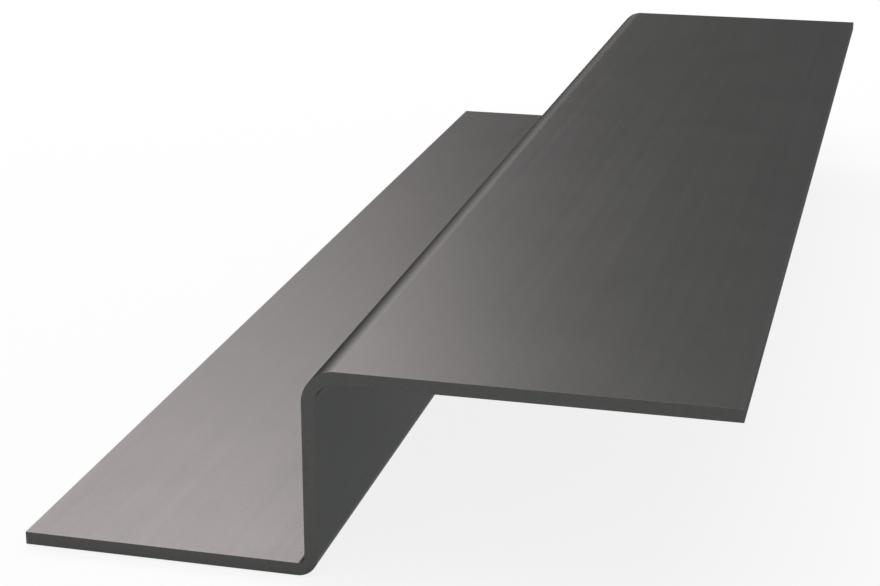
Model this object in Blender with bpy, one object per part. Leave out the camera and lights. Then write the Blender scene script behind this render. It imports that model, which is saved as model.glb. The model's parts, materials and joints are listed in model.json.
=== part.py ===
"""Z profile folded from one strip of coated steel sheet.

The profile runs along Y. Its lower flange points to -X, its web stands on the inner edge
of that flange, and its upper flange points to +X from the top of the web. The origin is
the middle of the lower flange's underside, the face that is screwed down.
"""

import math

import bmesh
import bpy

# Driving sizes in metres. Widths and heights run over the outside of the coated sheet.
SHEET = 0.0013
LENGTH = 0.186
HEIGHT = 0.021
LOWER_FLANGE = 0.030
UPPER_FLANGE = 0.0405

# Inside radii of the two folds. The upper one is the rounder.
LOWER_FOLD_INSIDE = 0.0008
UPPER_FOLD_INSIDE = 0.00205

# The coat leaves a small round on every sheared edge.
SHEARED_EDGE_ROUND = 0.00015

# Facets in each fold and in each rounded edge.
FOLD_FACETS = 16
EDGE_FACETS = 3

# Edges sharper than this are sheared edges. The folds' own facets meet far below it.
SHEARED_EDGE_ANGLE = math.radians(60)

# Dark grey satin coat.
COAT_COLOUR = (0.062, 0.066, 0.062, 1.0)
COAT_ROUGHNESS = 0.42
COAT_METALLIC = 0.0


def empty_scene():
    """Remove every object, so that the model starts from nothing."""
    for old in list(bpy.data.objects):
        bpy.data.objects.remove(old, do_unlink=True)


def section_corners():
    """Sharp corners of the section at mid-sheet, as X and Z from the lower free edge on."""
    half = SHEET / 2
    web = LOWER_FLANGE / 2 - half
    lower = half
    upper = HEIGHT - half
    upper_free_edge = web - half + UPPER_FLANGE
    return [(-LOWER_FLANGE / 2, lower), (web, lower), (web, upper), (upper_free_edge, upper)]


def fold(bm, edge, inside_radius):
    """Round a sharp edge of the mid-surface into a fold."""
    bmesh.ops.bevel(
        bm,
        geom=[edge],
        offset=inside_radius + SHEET / 2,
        offset_type="OFFSET",
        segments=FOLD_FACETS,
        profile=0.5,
        affect="EDGES",
        material=-1,
    )


def folded_strip():
    """Mid-surface of the strip: the section drawn out along the length, then folded."""
    bm = bmesh.new()
    corners = [bm.verts.new((x, -LENGTH / 2, z)) for x, z in section_corners()]
    section = [bm.edges.new(pair) for pair in zip(corners, corners[1:])]
    drawn = bmesh.ops.extrude_edge_only(bm, edges=section)["geom"]
    far_corners = [item for item in drawn if isinstance(item, bmesh.types.BMVert)]
    bmesh.ops.translate(bm, verts=far_corners, vec=(0, LENGTH, 0))

    shared = [edge for edge in bm.edges if len(edge.link_faces) == 2]
    lower, upper = sorted(shared, key=lambda edge: edge.verts[0].co.z)
    fold(bm, lower, LOWER_FOLD_INSIDE)
    fold(bm, upper, UPPER_FOLD_INSIDE)

    bmesh.ops.recalc_face_normals(bm, faces=bm.faces)
    mesh = bpy.data.meshes.new("z_profile")
    bm.to_mesh(mesh)
    bm.free()
    mesh.shade_smooth()
    return mesh


def coat():
    """Dark grey satin coat, on both faces and on the sheared edges alike."""
    material = bpy.data.materials.new("dark_grey_coat")
    material.use_nodes = True
    shader = material.node_tree.nodes["Principled BSDF"]
    shader.inputs["Base Color"].default_value = COAT_COLOUR
    shader.inputs["Roughness"].default_value = COAT_ROUGHNESS
    shader.inputs["Metallic"].default_value = COAT_METALLIC
    return material


def z_profile():
    """Give the folded strip its thickness, round its sheared edges and coat it."""
    profile = bpy.data.objects.new("z_profile", folded_strip())
    bpy.context.scene.collection.objects.link(profile)
    profile.data.materials.append(coat())

    thickness = profile.modifiers.new("sheet thickness", "SOLIDIFY")
    thickness.thickness = SHEET
    thickness.offset = 0.0
    thickness.use_even_offset = True
    thickness.use_rim = True

    edges = profile.modifiers.new("sheared edges", "BEVEL")
    edges.width = SHEARED_EDGE_ROUND
    edges.segments = EDGE_FACETS
    edges.limit_method = "ANGLE"
    edges.angle_limit = SHEARED_EDGE_ANGLE
    edges.harden_normals = True
    return profile


empty_scene()
z_profile()
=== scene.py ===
"""Looks of a folded Z profile: a dark grey satin coat on thin sheet, on a plain pale stage.

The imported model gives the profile's place and its outer sizes. This file folds the same strip
with fine, smooth folds, coats its faces and its sheared edges, and sets up the floor, the lamps,
the cards that only the coat shows, and the camera.
"""

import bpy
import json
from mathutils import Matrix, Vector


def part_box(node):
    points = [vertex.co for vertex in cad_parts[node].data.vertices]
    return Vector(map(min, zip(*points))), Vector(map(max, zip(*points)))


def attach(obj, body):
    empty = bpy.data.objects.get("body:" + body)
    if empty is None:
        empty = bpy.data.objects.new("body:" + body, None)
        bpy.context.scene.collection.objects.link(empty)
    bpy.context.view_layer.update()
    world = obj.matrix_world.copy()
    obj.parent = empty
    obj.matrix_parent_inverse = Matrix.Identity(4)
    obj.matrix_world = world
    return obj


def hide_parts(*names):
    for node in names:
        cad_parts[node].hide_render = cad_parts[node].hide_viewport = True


bl_info = {
    "name": "Folded Z Profile",
    "version": (1, 0, 0),
    "blender": (4, 5, 0),
    "location": "3D View > Sidebar > Z Profile",
    "description": "Folds a coated Z profile from a strip of sheet and sets up its stage",
    "category": "Object",
}

import json
import math

import bmesh
import bpy
from bpy.props import FloatProperty, FloatVectorProperty, IntProperty, PointerProperty
from mathutils import Vector

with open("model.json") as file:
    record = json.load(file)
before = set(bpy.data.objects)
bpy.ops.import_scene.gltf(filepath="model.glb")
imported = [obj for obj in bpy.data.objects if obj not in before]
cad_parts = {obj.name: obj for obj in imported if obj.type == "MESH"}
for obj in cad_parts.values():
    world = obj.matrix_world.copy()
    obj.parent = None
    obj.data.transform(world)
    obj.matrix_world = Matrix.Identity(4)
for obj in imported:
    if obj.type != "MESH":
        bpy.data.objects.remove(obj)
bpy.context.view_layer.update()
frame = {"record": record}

NODE = "z_profile"
STRIP = "folded_strip"
FLAT_SHEET_MAP = "flat_sheet"

# Outer sizes of the profile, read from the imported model: its box and the faces of its web.
LOW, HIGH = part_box(NODE)
MOUNTS = {mount["name"]: Vector(mount["pos_m"]) for mount in frame["record"]["mounts"]}
WEB_LEFT = MOUNTS["web_left_face"].x
WEB_RIGHT = MOUNTS["web_right_face"].x

# Room that the dark flag keeps to the profile and to what it lies on.
FLAG_GAP = 0.0005

# Corners sharper than this are sheared edges. The facets of a fold meet at far less.
SHEARED_EDGE_ANGLE = math.radians(60)
# At full weight, the largest face at a corner alone sets its normal, so flat faces shade flat.
FLAT_FACE_WEIGHT = 100
# The middle of a fold lies on the diagonal from its axis: this share of its radius, each way.
DIAGONAL = math.sqrt(0.5)
# Place of the sheared edges' coat among the strip's materials, after the coat of the faces.
EDGE_COAT = 1

# Patterns in the coat: the scale gives cells to a metre, the detail how many finer layers it has.
CLOUDS = {"Scale": 45.0, "Detail": 2.0}
SPECKLE = {"Scale": 3200.0, "Detail": 1.0}
SHEEN = {"Scale": 110.0, "Detail": 3.0}
ORANGE_PEEL = {"Scale": 900.0, "Detail": 1.0}
GRAIN = {"Scale": 4200.0, "Detail": 2.0}
# Streaks are scaled across and along the sheet first, so their noise keeps a scale of 1.
STREAKS = {"Scale": 1.0, "Detail": 3.0}
# Streaks to a metre, across the sheet and along it.
ROLLING_MARKS = (900.0, 7.0)
SHEAR_MARKS = (2600.0, 2600.0)
# Noise lies between 0 and 1, mostly within a quarter of its middle. The spread makes that 1.
NOISE_MIDDLE = 0.5
NOISE_SPREAD = 4.0

# Name that Blender gives to a new material's shader.
SHADER = "Principled BSDF"
WHITE = (1, 1, 1, 1)


class StripSizes(bpy.types.PropertyGroup):
    """Sizes of the folded strip, over the outside of the sheet."""

    sheet: FloatProperty(
        name="Sheet",
        description="Thickness of the sheet with its coat",
        default=WEB_RIGHT - WEB_LEFT,
        min=0.0002,
        unit="LENGTH",
        precision=5,
    )
    length: FloatProperty(
        name="Length",
        description="Length that the profile is cut to",
        default=HIGH.y - LOW.y,
        min=0.01,
        unit="LENGTH",
    )
    height: FloatProperty(
        name="Height",
        description="Height from the lower flange's underside to the upper flange's top",
        default=HIGH.z - LOW.z,
        min=0.005,
        unit="LENGTH",
    )
    lower_flange: FloatProperty(
        name="Lower Flange",
        description="Width of the lower flange, from its free edge to the web's right face",
        default=WEB_RIGHT - LOW.x,
        min=0.005,
        unit="LENGTH",
    )
    upper_flange: FloatProperty(
        name="Upper Flange",
        description="Width of the upper flange, from the web's left face to its free edge",
        default=HIGH.x - WEB_LEFT,
        min=0.005,
        unit="LENGTH",
    )
    lower_fold_inside: FloatProperty(
        name="Lower Fold",
        description="Inside radius of the fold at the web's foot",
        default=0.0008,
        min=0.0001,
        unit="LENGTH",
        precision=5,
    )
    upper_fold_inside: FloatProperty(
        name="Upper Fold",
        description="Inside radius of the fold at the web's top",
        default=0.00205,
        min=0.0001,
        unit="LENGTH",
        precision=5,
    )
    edge_round: FloatProperty(
        name="Edge Round",
        description="Radius that the coat leaves on the sheared edges",
        default=0.00005,
        min=0.00001,
        unit="LENGTH",
        precision=5,
    )
    fold_facets: IntProperty(
        name="Fold Facets",
        description="Facets round each fold",
        default=64,
        min=8,
    )
    edge_facets: IntProperty(
        name="Edge Facets",
        description="Facets round each sheared edge",
        default=4,
        min=1,
    )


class CoatLook(bpy.types.PropertyGroup):
    """Finish of the coated sheet and of its sheared edges."""

    colour: FloatVectorProperty(
        name="Coat",
        description="Colour of the coat on the faces",
        subtype="COLOR",
        size=3,
        default=(0.0684, 0.0733, 0.0705),
        min=0.0,
        max=1.0,
    )
    edge_colour: FloatVectorProperty(
        name="Edge Coat",
        description="Colour of the coat on the sheared edges",
        subtype="COLOR",
        size=3,
        default=(0.0985, 0.1026, 0.0977),
        min=0.0,
        max=1.0,
    )
    metallic: FloatProperty(
        name="Metallic",
        description="Share of metal flake in the coat",
        subtype="FACTOR",
        default=0.75,
        min=0.0,
        max=1.0,
    )
    grazing_tint: FloatProperty(
        name="Grazing Tint",
        description="How much the coat shines at grazing angles",
        subtype="FACTOR",
        default=0.463,
        min=0.0,
        max=1.0,
    )
    specular: FloatProperty(
        name="Specular",
        description="Shine of the clear binder between the flakes",
        subtype="FACTOR",
        default=0.117,
        min=0.0,
        max=1.0,
    )
    roughness: FloatProperty(
        name="Roughness",
        description="Roughness of the coat on the faces",
        subtype="FACTOR",
        default=0.369,
        min=0.0,
        max=1.0,
    )
    edge_metallic: FloatProperty(
        name="Edge Metallic",
        description="Share of metal flake in the coat on the sheared edges",
        subtype="FACTOR",
        default=0.2,
        min=0.0,
        max=1.0,
    )
    edge_specular: FloatProperty(
        name="Edge Specular",
        description="Shine of the clear binder on the sheared edges",
        subtype="FACTOR",
        default=0.0,
        min=0.0,
        max=1.0,
    )
    edge_roughness: FloatProperty(
        name="Edge Roughness",
        description="Roughness of the coat on the sheared edges",
        subtype="FACTOR",
        default=0.7,
        min=0.0,
        max=1.0,
    )
    clouds: FloatProperty(
        name="Clouds",
        description="How much the coat's tone drifts from place to place",
        subtype="FACTOR",
        default=0.02,
        min=0.0,
        max=1.0,
    )
    speckle: FloatProperty(
        name="Speckle",
        description="How much single grains of the coat differ in tone",
        subtype="FACTOR",
        default=0.06,
        min=0.0,
        max=1.0,
    )
    sheen_drift: FloatProperty(
        name="Sheen Drift",
        description="How much the coat's roughness drifts from place to place",
        subtype="FACTOR",
        default=0.03,
        min=0.0,
        max=1.0,
    )
    peel_depth: FloatProperty(
        name="Orange Peel",
        description="Depth of the soft waves in the coat",
        default=0.000005,
        min=0.0,
        unit="LENGTH",
        precision=6,
    )
    grain_depth: FloatProperty(
        name="Grain",
        description="Depth of the coat's fine grain",
        default=0.0000025,
        min=0.0,
        unit="LENGTH",
        precision=6,
    )
    roll_depth: FloatProperty(
        name="Rolling Marks",
        description="Depth of the marks that rolling left along the sheet",
        default=0.000003,
        min=0.0,
        unit="LENGTH",
        precision=6,
    )
    roll_sheen: FloatProperty(
        name="Rolling Sheen",
        description="How much the rolling marks change the coat's roughness",
        subtype="FACTOR",
        default=0.05,
        min=0.0,
        max=1.0,
    )
    shear_depth: FloatProperty(
        name="Shear Marks",
        description="Depth of the marks that the shear left across the cut edges",
        default=0.00002,
        min=0.0,
        unit="LENGTH",
        precision=6,
    )
    # Painted shade: how much the coat's colour is darkened inside the folds, standing in for the
    # crease's shadow.
    painted_fold_shade: FloatProperty(
        name="Fold Shade",
        description="How much darker the coat is where it gathers inside the folds",
        subtype="FACTOR",
        default=0.95,
        min=0.0,
        max=1.0,
    )
    # How far the painted shade reaches into each fold.
    fold_spread: FloatProperty(
        name="Fold Spread",
        description="How far that darker coat reaches, as a share of the fold's inside radius",
        default=0.7,
        min=0.01,
    )
    # Roughness added inside the folds with the same mask as the painted shade.
    fold_dullness: FloatProperty(
        name="Fold Dullness",
        description="How much rougher the coat is where it gathers inside the folds",
        subtype="FACTOR",
        default=0.475,
        min=0.0,
        max=1.0,
    )
    fold_polish: FloatProperty(
        name="Fold Polish",
        description="How much less rough the coat is where the press rubbed it round the folds",
        subtype="FACTOR",
        default=0.05,
        min=0.0,
        max=1.0,
    )
    thin_band: FloatProperty(
        name="Thin Band",
        description="Width of the band along sheared edges where the coat is thin",
        default=0.0006,
        min=0.0,
        unit="LENGTH",
        precision=5,
    )
    thin_tone: FloatProperty(
        name="Thin Tone",
        description="How much lighter the coat is where it is thin",
        subtype="FACTOR",
        default=0.04,
        min=0.0,
        max=1.0,
    )


class StageLook(bpy.types.PropertyGroup):
    """Floor, lamps, cards and camera. A brightness of 1 is plain white."""

    floor_size: FloatProperty(
        name="Floor",
        description="Side of the square floor",
        default=8.0,
        min=1.0,
        unit="LENGTH",
    )
    floor_gap: FloatProperty(
        name="Floor Gap",
        description="How far the floor lies under the profile",
        default=0.0001,
        min=0.0,
        unit="LENGTH",
        precision=5,
    )
    floor_colour: FloatVectorProperty(
        name="Floor Colour",
        description="Colour of the floor",
        subtype="COLOR",
        size=3,
        default=(0.8, 0.8, 0.8),
        min=0.0,
        max=1.0,
    )
    floor_white: FloatProperty(
        name="Floor White",
        description="Share of plain white in what is seen of the floor",
        subtype="FACTOR",
        default=0.85,
        min=0.0,
        max=1.0,
    )
    white_from: FloatProperty(
        name="White From",
        description="Distance from the profile's middle where the floor starts to fade to white",
        default=0.15,
        min=0.0,
        unit="LENGTH",
    )
    white_at: FloatProperty(
        name="White At",
        description="Distance from the profile's middle past which the floor is plain white",
        default=0.8,
        min=0.0,
        unit="LENGTH",
    )
    world_light: FloatProperty(
        name="World Light",
        description="Strength of the even light from all round",
        default=0.6,
        min=0.0,
    )
    key_azimuth: FloatProperty(
        name="Key Azimuth",
        description="Where the key lamp stands, from +Y towards -X",
        subtype="ANGLE",
        default=math.radians(28.35),
    )
    key_elevation: FloatProperty(
        name="Key Elevation",
        description="Height of the key lamp above the horizon",
        subtype="ANGLE",
        default=math.radians(34.15),
    )
    key_distance: FloatProperty(
        name="Key Distance",
        description="Distance of the key lamp from the profile",
        default=1.2,
        unit="LENGTH",
    )
    key_width: FloatProperty(
        name="Key Width",
        description="Width of the key lamp's face",
        default=0.491,
        unit="LENGTH",
    )
    key_height: FloatProperty(
        name="Key Height",
        description="Height of the key lamp's face",
        default=0.4625,
        unit="LENGTH",
    )
    key_brightness: FloatProperty(
        name="Key Brightness",
        description="Brightness of the key lamp's face",
        default=13.8,
        min=0.0,
    )
    key_colour: FloatVectorProperty(
        name="Key Colour",
        description="Colour of the key lamp",
        subtype="COLOR",
        size=3,
        default=(1.0, 0.857, 0.88),
        min=0.0,
        max=1.0,
    )
    top_size: FloatProperty(
        name="Top Size",
        description="Side of the square lamp over the profile",
        default=1.2,
        unit="LENGTH",
    )
    top_distance: FloatProperty(
        name="Top Distance",
        description="Height of the top lamp over the profile",
        default=1.2,
        unit="LENGTH",
    )
    top_brightness: FloatProperty(
        name="Top Brightness",
        description="Brightness of the top lamp's face",
        default=1.0,
        min=0.0,
    )
    card_azimuth: FloatProperty(
        name="Card Azimuth",
        description="Where the middle of the grey card stands, from +Y towards -X",
        subtype="ANGLE",
        default=math.radians(22.7),
    )
    card_span: FloatProperty(
        name="Card Span",
        description="Angle that the grey card spans, seen from the profile",
        subtype="ANGLE",
        default=math.radians(54.9),
    )
    card_top: FloatProperty(
        name="Card Top",
        description="Elevation of the grey card's upper edge",
        subtype="ANGLE",
        default=math.radians(24.3),
    )
    card_distance: FloatProperty(
        name="Card Distance",
        description="Distance from the profile to the card's foot",
        default=2.0,
        unit="LENGTH",
    )
    card_grey: FloatProperty(
        name="Card Grey",
        description="Brightness of the grey card",
        subtype="FACTOR",
        default=0.1116,
        min=0.0,
        max=1.0,
    )
    flag_width: FloatProperty(
        name="Flag Width",
        description="How far the dark flag reaches to the left of the profile",
        default=1.0,
        min=0.0,
        unit="LENGTH",
    )
    flag_near: FloatProperty(
        name="Flag Near Edge",
        description="How far the flag reaches from the profile's middle towards the camera",
        default=0.05,
        unit="LENGTH",
    )
    flag_far: FloatProperty(
        name="Flag Far Edge",
        description="How far the flag reaches from the profile's middle away from the camera",
        default=1.2,
        unit="LENGTH",
    )
    flag_grey: FloatProperty(
        name="Flag Grey",
        description="Brightness of the dark flag",
        subtype="FACTOR",
        default=0.02,
        min=0.0,
        max=1.0,
    )
    camera_place: FloatVectorProperty(
        name="Camera",
        description="Where the camera stands",
        subtype="TRANSLATION",
        size=3,
        default=(0.06718, -0.25255, 0.08443),
        unit="LENGTH",
        precision=5,
    )
    camera_dip: FloatProperty(
        name="Camera Dip",
        description="How far the camera looks down from level",
        subtype="ANGLE",
        default=math.radians(18.486),
    )
    camera_heading: FloatProperty(
        name="Camera Heading",
        description="How far the camera is turned from +Y towards -X",
        subtype="ANGLE",
        default=math.radians(14.160),
    )
    camera_lens: FloatProperty(
        name="Lens",
        description="Focal length in millimetres",
        default=80.17,
        min=1.0,
    )


def section_corners(sizes):
    """Sharp corners of the section at mid-sheet, as X and Z from the lower free edge on."""
    half = sizes.sheet / 2
    lower = LOW.z + half
    upper = LOW.z + sizes.height - half
    left = WEB_RIGHT - sizes.lower_flange
    web = WEB_RIGHT - half
    right = WEB_LEFT + sizes.upper_flange
    return [(left, lower), (web, lower), (web, upper), (right, upper)]


def fold(bm, edge, radius, facets):
    """Round a sharp edge of the mid-surface into a fold."""
    bmesh.ops.bevel(
        bm,
        geom=[edge],
        offset=radius,
        offset_type="OFFSET",
        segments=facets,
        profile=0.5,
        affect="EDGES",
        material=-1,
    )


def map_flat_sheet(bm, sizes):
    """UV map of the strip before it was folded, in metres: across the sheet, then along it."""
    middle = LOW.y + sizes.length / 2
    along_section = sorted(bm.verts, key=lambda vert: vert.co.x + vert.co.z)
    near_end = [vert for vert in along_section if vert.co.y < middle]
    far_end = [vert for vert in along_section if vert.co.y > middle]
    across = {near_end[0]: 0.0, far_end[0]: 0.0}
    for before, near, far in zip(near_end, near_end[1:], far_end[1:]):
        across[near] = across[far] = across[before] + (near.co - before.co).length

    flat_sheet = bm.loops.layers.uv.new(FLAT_SHEET_MAP)
    for face in bm.faces:
        for loop in face.loops:
            loop[flat_sheet].uv = (across[loop.vert], loop.vert.co.y - LOW.y)


def folded_mid_surface(sizes):
    """The strip at mid-sheet: the section drawn out along the length, then folded twice."""
    bm = bmesh.new()
    corners = [bm.verts.new((x, LOW.y, z)) for x, z in section_corners(sizes)]
    section = [bm.edges.new(pair) for pair in zip(corners, corners[1:])]
    drawn = bmesh.ops.extrude_edge_only(bm, edges=section)["geom"]
    far_corners = [item for item in drawn if isinstance(item, bmesh.types.BMVert)]
    bmesh.ops.translate(bm, verts=far_corners, vec=(0, sizes.length, 0))

    shared = [edge for edge in bm.edges if len(edge.link_faces) == 2]
    lower, upper = sorted(shared, key=lambda edge: edge.verts[0].co.z)
    half = sizes.sheet / 2
    fold(bm, lower, sizes.lower_fold_inside + half, sizes.fold_facets)
    fold(bm, upper, sizes.upper_fold_inside + half, sizes.fold_facets)

    bmesh.ops.recalc_face_normals(bm, faces=bm.faces)
    map_flat_sheet(bm, sizes)
    mesh = bpy.data.meshes.new(STRIP)
    bm.to_mesh(mesh)
    bm.free()
    mesh.shade_smooth()
    return mesh


def add_node(tree, kind, inputs=None, **settings):
    """Add a shader node. Each input is given by name or number, as a value or a socket."""
    node = tree.nodes.new("ShaderNode" + kind)
    for name, value in settings.items():
        setattr(node, name, value)
    for name, value in (inputs or {}).items():
        if isinstance(value, bpy.types.NodeSocket):
            tree.links.new(value, node.inputs[name])
        else:
            node.inputs[name].default_value = value
    return node


def arithmetic(tree, operation, first, second, clamp=False):
    """The result of one sum on two values or sockets."""
    sides = {0: first, 1: second}
    return add_node(tree, "Math", sides, operation=operation, use_clamp=clamp).outputs[0]


def vector_arithmetic(tree, operation, first, second):
    """The vector that one sum on two vectors gives."""
    return add_node(tree, "VectorMath", {0: first, 1: second}, operation=operation).outputs[0]


def smooth_step(tree, value, start, end, before=0.0, after=1.0):
    """Go softly from before to after, while the value goes from start to end."""
    fade = {
        "Value": value,
        "From Min": start,
        "From Max": end,
        "To Min": before,
        "To Max": after,
    }
    return add_node(tree, "MapRange", fade, interpolation_type="SMOOTHSTEP").outputs["Result"]


def noise(tree, vector, pattern):
    """Soft noise between 0 and 1, in one of the patterns named above."""
    return add_node(tree, "TexNoise", {"Vector": vector, **pattern}).outputs["Fac"]


def swing(tree, value, change):
    """How far a value of noise strays from its middle, times the given change."""
    off_middle = arithmetic(tree, "SUBTRACT", value, NOISE_MIDDLE)
    return arithmetic(tree, "MULTIPLY", off_middle, change)


def drift(tree, vector, pattern, change):
    """1, more or less: soft noise that strays from 1 by about the given share."""
    strayed = swing(tree, noise(tree, vector, pattern), change)
    return arithmetic(tree, "ADD", arithmetic(tree, "MULTIPLY", strayed, NOISE_SPREAD), 1.0)


def grey(value):
    """Grey of the given brightness, as a colour."""
    return (value, value, value, 1)


def new_group(name, inputs, outputs):
    """An empty node group with named sockets, with what it is given and its output node."""
    group = bpy.data.node_groups.new(name, "ShaderNodeTree")
    for in_out, sockets in (("INPUT", inputs), ("OUTPUT", outputs)):
        for label, kind in sockets.items():
            group.interface.new_socket(label, in_out=in_out, socket_type="NodeSocket" + kind)
    given = group.nodes.new("NodeGroupInput").outputs
    result = group.nodes.new("NodeGroupOutput")
    return group, given, result


def coat_tone_group():
    """Tone and roughness of the coat, which drift in clouds and differ from grain to grain."""
    group, given, result = new_group(
        "coat_tone",
        {
            "Vector": "Vector",
            "Colour": "Color",
            "Roughness": "Float",
            "Clouds": "Float",
            "Speckle": "Float",
            "Sheen Drift": "Float",
        },
        {"Colour": "Color", "Roughness": "Float"},
    )
    clouds = drift(group, given["Vector"], CLOUDS, given["Clouds"])
    speckle = drift(group, given["Vector"], SPECKLE, given["Speckle"])
    tone = arithmetic(group, "MULTIPLY", clouds, speckle)
    toned = add_node(group, "HueSaturation", {"Value": tone, "Color": given["Colour"]})
    sheen = drift(group, given["Vector"], SHEEN, given["Sheen Drift"])
    rough = arithmetic(group, "MULTIPLY", sheen, given["Roughness"])
    group.links.new(toned.outputs["Color"], result.inputs["Colour"])
    group.links.new(rough, result.inputs["Roughness"])
    return group


def coat_relief_group():
    """Height of the coat in metres: soft orange peel with fine grain on it."""
    group, given, result = new_group(
        "coat_relief",
        {"Vector": "Vector", "Orange Peel": "Float", "Grain": "Float"},
        {"Height": "Float"},
    )
    waves = noise(group, given["Vector"], ORANGE_PEEL)
    grain = noise(group, given["Vector"], GRAIN)
    peel_height = arithmetic(group, "MULTIPLY", waves, given["Orange Peel"])
    grain_height = arithmetic(group, "MULTIPLY", grain, given["Grain"])
    height = arithmetic(group, "ADD", peel_height, grain_height)
    group.links.new(height, result.inputs["Height"])
    return group


def streaks_group():
    """Streaks on the flat sheet: noise drawn out by its own scale across and along the sheet."""
    group, given, result = new_group(
        "streaks",
        {"Sheet": "Vector", "Across": "Float", "Along": "Float"},
        {"Mask": "Float"},
    )
    scale = add_node(group, "CombineXYZ", {"X": given["Across"], "Y": given["Along"]})
    drawn_out = vector_arithmetic(group, "MULTIPLY", given["Sheet"], scale.outputs[0])
    group.links.new(noise(group, drawn_out, STREAKS), result.inputs["Mask"])
    return group


def edge_distance(tree, place, sizes):
    """Distance to the nearest sheared edge: the two free edges and the two ends."""
    parts = add_node(tree, "SeparateXYZ", {0: place}).outputs
    distances = [
        arithmetic(tree, "SUBTRACT", parts["X"], WEB_RIGHT - sizes.lower_flange),
        arithmetic(tree, "SUBTRACT", WEB_LEFT + sizes.upper_flange, parts["X"]),
        arithmetic(tree, "SUBTRACT", parts["Y"], LOW.y),
        arithmetic(tree, "SUBTRACT", LOW.y + sizes.length, parts["Y"]),
    ]
    nearest = distances[0]
    for distance in distances[1:]:
        nearest = arithmetic(tree, "MINIMUM", nearest, distance)
    return nearest


def fold_axes(sizes):
    """Each fold's axis as X and Z, the sides of it where its sheet lies, and its inside radius."""
    lower = sizes.lower_fold_inside
    upper = sizes.upper_fold_inside
    lower_axis = (WEB_RIGHT - sizes.sheet - lower, LOW.z + sizes.sheet + lower)
    upper_axis = (WEB_RIGHT + upper, LOW.z + sizes.height - sizes.sheet - upper)
    return [(lower_axis, (1, -1), lower), (upper_axis, (-1, 1), upper)]


def crease_shade_and_dullness_mask(tree, place, sizes, look):
    """1 along the middle of each fold's inside, down to 0 beside it: painted shade in the crease.
    """
    # This mask sets the painted shade inside the folds, and the coat is made rougher with it too.
    section = vector_arithmetic(tree, "MULTIPLY", place, (1, 0, 1))
    masks = []
    for (x, z), (right, up), inside in fold_axes(sizes):
        step = inside * DIAGONAL
        deepest = (x + right * step, 0, z + up * step)
        off = add_node(tree, "VectorMath", {0: section, 1: deepest}, operation="DISTANCE")
        spread = look.fold_spread * inside
        masks.append(smooth_step(tree, off.outputs["Value"], 0.0, spread, before=1.0, after=0.0))
    return arithmetic(tree, "MAXIMUM", *masks)


def rubbed_coat(tree, place, sizes):
    """0 on flat faces, up to 1 along the middle of each fold, where the press rubs the coat."""
    masks = []
    for (x, z), (right, up), inside in fold_axes(sizes):
        offset = vector_arithmetic(tree, "SUBTRACT", place, (x, 0, z))
        outward = vector_arithmetic(tree, "MULTIPLY", offset, (right, 0, up))
        parts = add_node(tree, "SeparateXYZ", {0: outward}).outputs
        depth = arithmetic(tree, "MINIMUM", parts["X"], parts["Z"])
        masks.append(smooth_step(tree, depth, 0.0, (inside + sizes.sheet) * DIAGONAL))
    return arithmetic(tree, "MAXIMUM", *masks)


def coated(name, colour, metallic, specular, roughness, look, groups):
    """The coat as a material, with its Object coordinates and the height of its relief."""
    material = bpy.data.materials.new(name)
    material.use_nodes = True
    tree = material.node_tree
    place = add_node(tree, "TexCoord").outputs["Object"]
    tone = add_node(
        tree,
        "Group",
        {
            "Vector": place,
            "Colour": (*colour, 1),
            "Roughness": roughness,
            "Clouds": look.clouds,
            "Speckle": look.speckle,
            "Sheen Drift": look.sheen_drift,
        },
        node_tree=groups["tone"],
    )
    relief = add_node(
        tree,
        "Group",
        {"Vector": place, "Orange Peel": look.peel_depth, "Grain": look.grain_depth},
        node_tree=groups["relief"],
    )
    shader = tree.nodes[SHADER]
    shader.inputs["Metallic"].default_value = metallic
    shader.inputs["Specular IOR Level"].default_value = specular
    shader.inputs["Specular Tint"].default_value = grey(look.grazing_tint)
    tree.links.new(tone.outputs["Colour"], shader.inputs["Base Color"])
    tree.links.new(tone.outputs["Roughness"], shader.inputs["Roughness"])
    return material, place, relief.outputs["Height"]


def add_marks(tree, groups, to_a_metre):
    """Streaks that follow the sheet round its folds, with so many to a metre across and along."""
    across, along = to_a_metre
    sheet = add_node(tree, "UVMap", uv_map=FLAT_SHEET_MAP).outputs["UV"]
    values = {"Sheet": sheet, "Across": across, "Along": along}
    return add_node(tree, "Group", values, node_tree=groups["streaks"]).outputs["Mask"]


def add_bump(tree, coat_height, marks, depth):
    """Turn the shader's normal by the coat's height and the marks, both in metres."""
    marked = arithmetic(tree, "MULTIPLY", marks, depth)
    height = arithmetic(tree, "ADD", coat_height, marked)
    # At a distance of 1, the height counts as it is.
    bump = add_node(tree, "Bump", {"Height": height, "Distance": 1.0})
    tree.links.new(bump.outputs["Normal"], tree.nodes[SHADER].inputs["Normal"])


def add_before(tree, socket, kind, value_input, kept_input, value, **settings):
    """Put a node between a shader's input and what feeds it."""
    link = socket.links[0]
    node = add_node(tree, kind, {value_input: value, kept_input: link.from_socket}, **settings)
    tree.links.new(node.outputs[0], socket)


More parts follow.
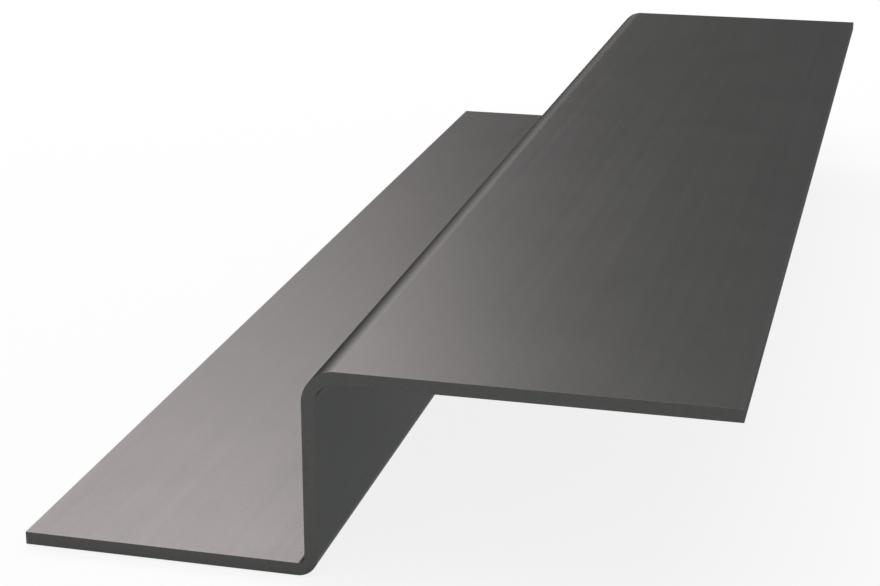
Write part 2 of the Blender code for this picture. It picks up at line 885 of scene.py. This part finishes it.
def face_material(sizes, look, groups):
    """Satin coat on the rolled faces: thin along cut edges, with painted shade inside the folds.
    """
    material, place, height = coated(
        "satin_coat", look.colour, look.metallic, look.specular, look.roughness, look, groups
    )
    tree = material.node_tree
    shader = tree.nodes[SHADER]
    from_edge = edge_distance(tree, place, sizes)
    thinned = smooth_step(tree, from_edge, 0.0, look.thin_band, before=1.0 + look.thin_tone)
    # Painted shade: the coat's colour is darkened inside the folds, and the same mask makes it
    # rougher there.
    crease_shade_and_dullness = crease_shade_and_dullness_mask(tree, place, sizes, look)
    shade = arithmetic(tree, "MULTIPLY", crease_shade_and_dullness, look.painted_fold_shade)
    tone = arithmetic(tree, "MULTIPLY", thinned, arithmetic(tree, "SUBTRACT", 1.0, shade))
    add_before(tree, shader.inputs["Base Color"], "HueSaturation", "Value", "Color", tone)

    marks = add_marks(tree, groups, ROLLING_MARKS)
    dulled = arithmetic(tree, "MULTIPLY", crease_shade_and_dullness, look.fold_dullness)
    polished = arithmetic(tree, "MULTIPLY", rubbed_coat(tree, place, sizes), look.fold_polish)
    rougher = arithmetic(tree, "ADD", swing(tree, marks, look.roll_sheen), dulled)
    change = arithmetic(tree, "SUBTRACT", rougher, polished)
    add_before(tree, shader.inputs["Roughness"], "Math", 0, 1, change, operation="ADD")
    add_bump(tree, height, marks, look.roll_depth)
    return material


def edge_material(look, groups):
    """Duller coat on the sheared edges, with the shear's marks across them."""
    material, _, height = coated(
        "sheared_edge_coat",
        look.edge_colour,
        look.edge_metallic,
        look.edge_specular,
        look.edge_roughness,
        look,
        groups,
    )
    tree = material.node_tree
    add_bump(tree, height, add_marks(tree, groups, SHEAR_MARKS), look.shear_depth)
    return material


class ZPROFILE_OT_folded_strip(bpy.types.Operator):
    """Fold the strip, give it its thickness and its rounded edges, and coat it"""

    bl_idname = "zprofile.folded_strip"
    bl_label = "Folded Strip"

    def execute(self, context):
        sizes = context.scene.z_strip
        look = context.scene.z_coat
        strip = bpy.data.objects.new(STRIP, folded_mid_surface(sizes))
        context.scene.collection.objects.link(strip)
        groups = {
            "tone": coat_tone_group(),
            "relief": coat_relief_group(),
            "streaks": streaks_group(),
        }
        strip.data.materials.append(face_material(sizes, look, groups))
        strip.data.materials.append(edge_material(look, groups))

        thickness = strip.modifiers.new("sheet thickness", "SOLIDIFY")
        thickness.thickness = sizes.sheet
        thickness.offset = 0.0
        thickness.use_even_offset = True
        thickness.material_offset_rim = EDGE_COAT

        edges = strip.modifiers.new("sheared edges", "BEVEL")
        edges.width = sizes.edge_round
        edges.segments = sizes.edge_facets
        edges.limit_method = "ANGLE"
        edges.angle_limit = SHEARED_EDGE_ANGLE

        shading = strip.modifiers.new("flat faces stay flat", "WEIGHTED_NORMAL")
        shading.weight = FLAT_FACE_WEIGHT

        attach(strip, "root")
        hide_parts(NODE)
        return {"FINISHED"}


def seen_ray_mask(tree):
    """1 for rays from the camera or off a shiny or clear surface, 0 for those that carry light."""
    path = add_node(tree, "LightPath").outputs
    shiny = arithmetic(tree, "ADD", path["Is Camera Ray"], path["Is Glossy Ray"], clamp=True)
    return arithmetic(tree, "ADD", shiny, path["Is Transmission Ray"], clamp=True)


def empty_tree(owner):
    """Node tree of a material or a world, with nothing in it."""
    owner.use_nodes = True
    owner.node_tree.nodes.clear()
    return owner.node_tree


def add_stage_object(context, name, bm, material):
    """An object of the stage, made of the given faces and material."""
    mesh = bpy.data.meshes.new(name)
    bm.to_mesh(mesh)
    bm.free()
    mesh.materials.append(material)
    made = bpy.data.objects.new(name, mesh)
    context.scene.collection.objects.link(made)
    return made


def add_rectangle(bm, left, right, near, far, height):
    """Level rectangle, scaled from a square with sides of 1 metre."""
    corners = bmesh.ops.create_grid(bm, x_segments=1, y_segments=1, size=0.5)["verts"]
    bmesh.ops.scale(bm, verts=corners, vec=(right - left, far - near, 1))
    bmesh.ops.translate(bm, verts=corners, vec=((left + right) / 2, (near + far) / 2, height))


def floor_material(look):
    """Pale matt floor. Plain white is mixed in for what is seen, and the shadow stays."""
    material = bpy.data.materials.new("pale_floor")
    tree = empty_tree(material)
    matt = add_node(tree, "BsdfDiffuse", {"Color": (*look.floor_colour, 1)})
    white = add_node(tree, "Emission", {"Color": WHITE, "Strength": 1.0})
    place = add_node(tree, "TexCoord").outputs["Object"]
    distance = add_node(tree, "VectorMath", {0: place}, operation="LENGTH").outputs["Value"]
    whiteness = smooth_step(
        tree, distance, look.white_from, look.white_at, before=look.floor_white
    )
    share = arithmetic(tree, "MULTIPLY", seen_ray_mask(tree), whiteness)
    mix = add_node(tree, "MixShader", {"Fac": share, 1: matt.outputs[0], 2: white.outputs[0]})
    add_node(tree, "OutputMaterial", {"Surface": mix.outputs[0]})
    return material


def add_floor(context, look):
    """Square floor, just under the profile."""
    half = look.floor_size / 2
    bm = bmesh.new()
    add_rectangle(bm, -half, half, -half, half, LOW.z - look.floor_gap)
    floor = add_stage_object(context, "floor", bm, floor_material(look))


def towards(azimuth, elevation, distance):
    """A place seen from the origin: azimuth from +Y towards -X, elevation over the horizon."""
    flat = math.cos(elevation) * distance
    rise = math.sin(elevation) * distance
    return Vector((-math.sin(azimuth) * flat, math.cos(azimuth) * flat, rise))


def add_card(context, name, bm, brightness):
    """Card of even brightness that shows only in the coat."""
    material = bpy.data.materials.new(name)
    tree = empty_tree(material)
    glow = add_node(tree, "Emission", {"Color": grey(brightness), "Strength": 1.0})
    add_node(tree, "OutputMaterial", {"Surface": glow.outputs[0]})
    card = add_stage_object(context, name, bm, material)
    card.visible_camera = False
    card.visible_diffuse = False
    card.visible_shadow = False


def add_grey_card(context, look):
    """Grey card that stands far behind the profile, with its foot on the floor."""
    left = look.card_azimuth + look.card_span / 2
    right = look.card_azimuth - look.card_span / 2
    foot = 0.0
    top = look.card_top
    bm = bmesh.new()
    corners = [
        bm.verts.new(towards(azimuth, elevation, look.card_distance))
        for azimuth, elevation in ((left, foot), (right, foot), (right, top), (left, top))
    ]
    bm.faces.new(corners)
    add_card(context, "grey_card", bm, look.card_grey)


def add_dark_flag(context, look):
    """Dark flag that lies round two sides of the profile: beside its lower flange and behind."""
    left = LOW.x - FLAG_GAP
    back = HIGH.y + FLAG_GAP
    bm = bmesh.new()
    add_rectangle(bm, left - look.flag_width, left, -look.flag_near, look.flag_far, FLAG_GAP)
    add_rectangle(bm, left, HIGH.x, back, look.flag_far, FLAG_GAP)
    add_card(context, "dark_flag", bm, look.flag_grey)


def set_world(context, look):
    """Even light from all round. What is seen of it is plain white."""
    world = bpy.data.worlds.new("even light")
    context.scene.world = world
    tree = empty_tree(world)
    light = add_node(tree, "Background", {"Color": WHITE, "Strength": look.world_light})
    seen = add_node(tree, "Background", {"Color": WHITE, "Strength": 1.0})
    mask = seen_ray_mask(tree)
    mix = add_node(tree, "MixShader", {"Fac": mask, 1: light.outputs[0], 2: seen.outputs[0]})
    add_node(tree, "OutputWorld", {"Surface": mix.outputs[0]})


def add_lamp(context, name, place, target, face, brightness, colour):
    """A soft rectangular lamp. Its face is given as width and height."""
    width, height = face
    data = bpy.data.lights.new(name, "AREA")
    data.shape = "RECTANGLE"
    data.size = width
    data.size_y = height
    # The power that makes the face this bright: pi times its brightness for each square metre.
    data.energy = brightness * width * height * math.pi
    data.color = colour
    lamp = bpy.data.objects.new(name, data)
    context.scene.collection.objects.link(lamp)
    lamp.location = place
    lamp.rotation_euler = (target - place).to_track_quat("-Z", "Y").to_euler()


def add_lamps(context, look):
    """The key lamp behind on the left and a faint one overhead, both aimed at the web's foot."""
    aim = Vector((WEB_RIGHT, 0, LOW.z))
    key = aim + towards(look.key_azimuth, look.key_elevation, look.key_distance)
    key_face = (look.key_width, look.key_height)
    add_lamp(context, "key lamp", key, aim, key_face, look.key_brightness, look.key_colour)
    top = aim + Vector((0, 0, look.top_distance))
    top_face = (look.top_size, look.top_size)
    add_lamp(context, "top lamp", top, aim, top_face, look.top_brightness, WHITE[:3])


def add_camera(context, look):
    """Camera in its place, dipped from level and turned to its heading."""
    data = bpy.data.cameras.new("camera")
    data.lens = look.camera_lens
    camera = bpy.data.objects.new("camera", data)
    context.scene.collection.objects.link(camera)
    camera.location = look.camera_place
    camera.rotation_euler = (math.pi / 2 - look.camera_dip, 0, look.camera_heading)
    context.scene.camera = camera


class ZPROFILE_OT_stage(bpy.types.Operator):
    """Set up the floor, the cards, the even light, the lamps and the camera"""

    bl_idname = "zprofile.stage"
    bl_label = "Stage"

    def execute(self, context):
        look = context.scene.z_stage
        add_floor(context, look)
        add_grey_card(context, look)
        add_dark_flag(context, look)
        set_world(context, look)
        add_lamps(context, look)
        add_camera(context, look)
        context.scene.view_settings.view_transform = "Standard"
        return {"FINISHED"}


class ZPROFILE_PT_panel(bpy.types.Panel):
    """Lists the pieces and the stage"""

    bl_idname = "ZPROFILE_PT_panel"
    bl_label = "Z Profile"
    bl_space_type = "VIEW_3D"
    bl_region_type = "UI"
    bl_category = "Z Profile"

    def draw(self, context):
        for operator in OPERATORS:
            self.layout.operator(operator.bl_idname)


OPERATORS = (ZPROFILE_OT_folded_strip, ZPROFILE_OT_stage)
SETTINGS = {"z_strip": StripSizes, "z_coat": CoatLook, "z_stage": StageLook}


def register():
    """Register the settings, the operators and the panel."""
    for group in SETTINGS.values():
        bpy.utils.register_class(group)
    for name, group in SETTINGS.items():
        setattr(bpy.types.Scene, name, PointerProperty(type=group))
    for operator in OPERATORS:
        bpy.utils.register_class(operator)
    bpy.utils.register_class(ZPROFILE_PT_panel)


def unregister():
    """Undo register, in the opposite order."""
    bpy.utils.unregister_class(ZPROFILE_PT_panel)
    for operator in reversed(OPERATORS):
        bpy.utils.unregister_class(operator)
    for name, group in reversed(SETTINGS.items()):
        delattr(bpy.types.Scene, name)
        bpy.utils.unregister_class(group)


def main():
    """Fold the strip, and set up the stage."""
    register()
    bpy.ops.zprofile.folded_strip()
    bpy.ops.zprofile.stage()


if __name__ == "__main__":
    main()
